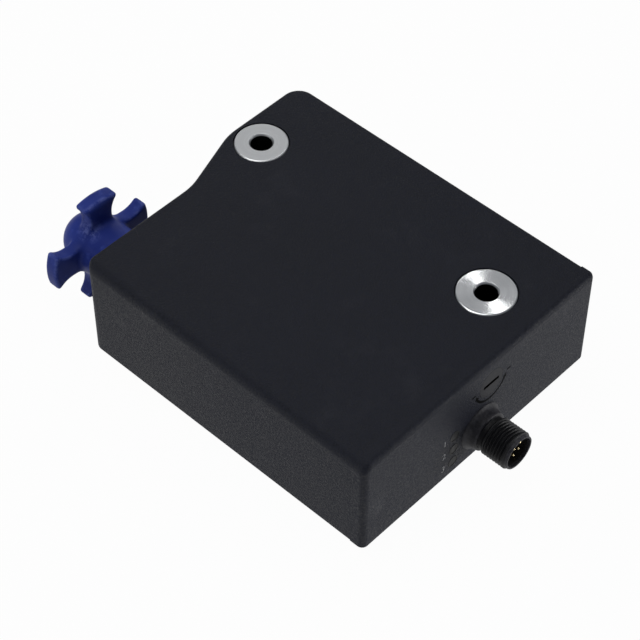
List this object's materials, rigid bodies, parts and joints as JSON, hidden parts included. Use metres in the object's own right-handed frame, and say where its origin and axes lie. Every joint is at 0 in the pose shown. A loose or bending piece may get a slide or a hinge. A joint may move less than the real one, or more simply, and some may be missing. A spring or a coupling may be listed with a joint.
{
  "type": "tongue interlock switch",
  "caption": "Flat block-shaped solenoid interlock switch for a machine guard, with a blue rotary cross at one corner, through-bushes and a round plug connector.",
  "frame": {"origin": "midway between the two fixing holes, on the mounting plane at the back of the housing", "axes": "+X towards the connector face, +Y away from the long label side, +Z from the mounting plane towards the big front face"},
  "size_m": [0.1477, 0.0953, 0.0368],
  "materials": {
    "housing_plastic": "fine-grained moulded charcoal",
    "cover_plastic": "fine-grained moulded charcoal",
    "bush_metal": "turned, bright",
    "cross_plastic": "semi-gloss blue moulding",
    "steel": "machined steel",
    "screw_steel": "zinc plated",
    "bearing_bronze": "sintered bronze",
    "seal_rubber": "black",
    "winding_copper": "enamelled copper wire",
    "bobbin_plastic": "natural nylon",
    "connector_plastic": "black moulded",
    "carrier_plastic": "black moulded",
    "contact_gold": "gold plated",
    "board_green": "solder resist",
    "chip_black": "moulded packages",
    "capacitor_sleeve": "drawn can",
    "lamp_white": "clear lens",
    "pipe_clear": "frosted light pipe",
    "spindle_plastic": "moulded charcoal",
    "coil_copper": "wound wire"
  },
  "bodies": {
    "housing": {"front_shell": "housing_plastic", "end_cap": "housing_plastic", "back_cover": "cover_plastic", "cover_screws": "screw_steel", "cover_seal": "seal_rubber", "bush_seals": "seal_rubber", "fixing_bush_left": "bush_metal", "fixing_bush_right": "bush_metal", "shaft_bearing": "bearing_bronze", "shaft_seal": "seal_rubber", "bearing_block": "bobbin_plastic", "detent_spring": "steel", "solenoid_yoke": "steel", "coil_bobbin": "bobbin_plastic", "coil_winding": "winding_copper", "pole_piece": "steel", "bolt_guide": "bobbin_plastic", "bolt_spring": "steel", "circuit_board": "board_green", "board_chips": "chip_black", "board_capacitors": "capacitor_sleeve", "sensor_coil": "coil_copper", "connector_body": "connector_plastic", "contact_carrier": "carrier_plastic", "contact_pins": "contact_gold", "connector_seal": "seal_rubber", "connector_nut": "steel", "light_pipes": "pipe_clear", "indicator_lamps": "lamp_white", "lamp_board": "board_green", "release_seal": "seal_rubber"},
    "rotor": {"rotary_cross": "cross_plastic", "cross_shaft": "steel", "locking_disc": "steel", "shaft_clip": "steel"},
    "lock": {"lock_bolt": "steel", "push_rod": "steel", "armature": "steel"},
    "detent": {"detent_pin": "steel"},
    "release": {"release_spindle": "spindle_plastic", "release_cam": "spindle_plastic"}
  },
  "joints": [
    {"name": "cross_turn", "type": "hinge", "parent": "housing", "child": "rotor", "pos_m": [-0.0457, -0.0507, 0.0175], "axis": [1, 0, 0], "continuous": true},
    {"name": "bolt_slide", "type": "slide", "parent": "housing", "child": "lock", "axis": [0, -1, 0], "range_m": [0, 0.0036], "stiffness_N_per_m": 400, "deforming": ["bolt_spring"]},
    {"name": "detent_slide", "type": "slide", "parent": "housing", "child": "detent", "axis": [-1, 0, 0], "range_m": [0, 0.0006], "stiffness_N_per_m": 300, "deforming": ["detent_spring"]},
    {"name": "release_turn", "type": "hinge", "parent": "housing", "child": "release", "pos_m": [0.06125, -0.0181, 0.0262], "axis": [1, 0, 0], "range_deg": [0, 180]}
  ]
}
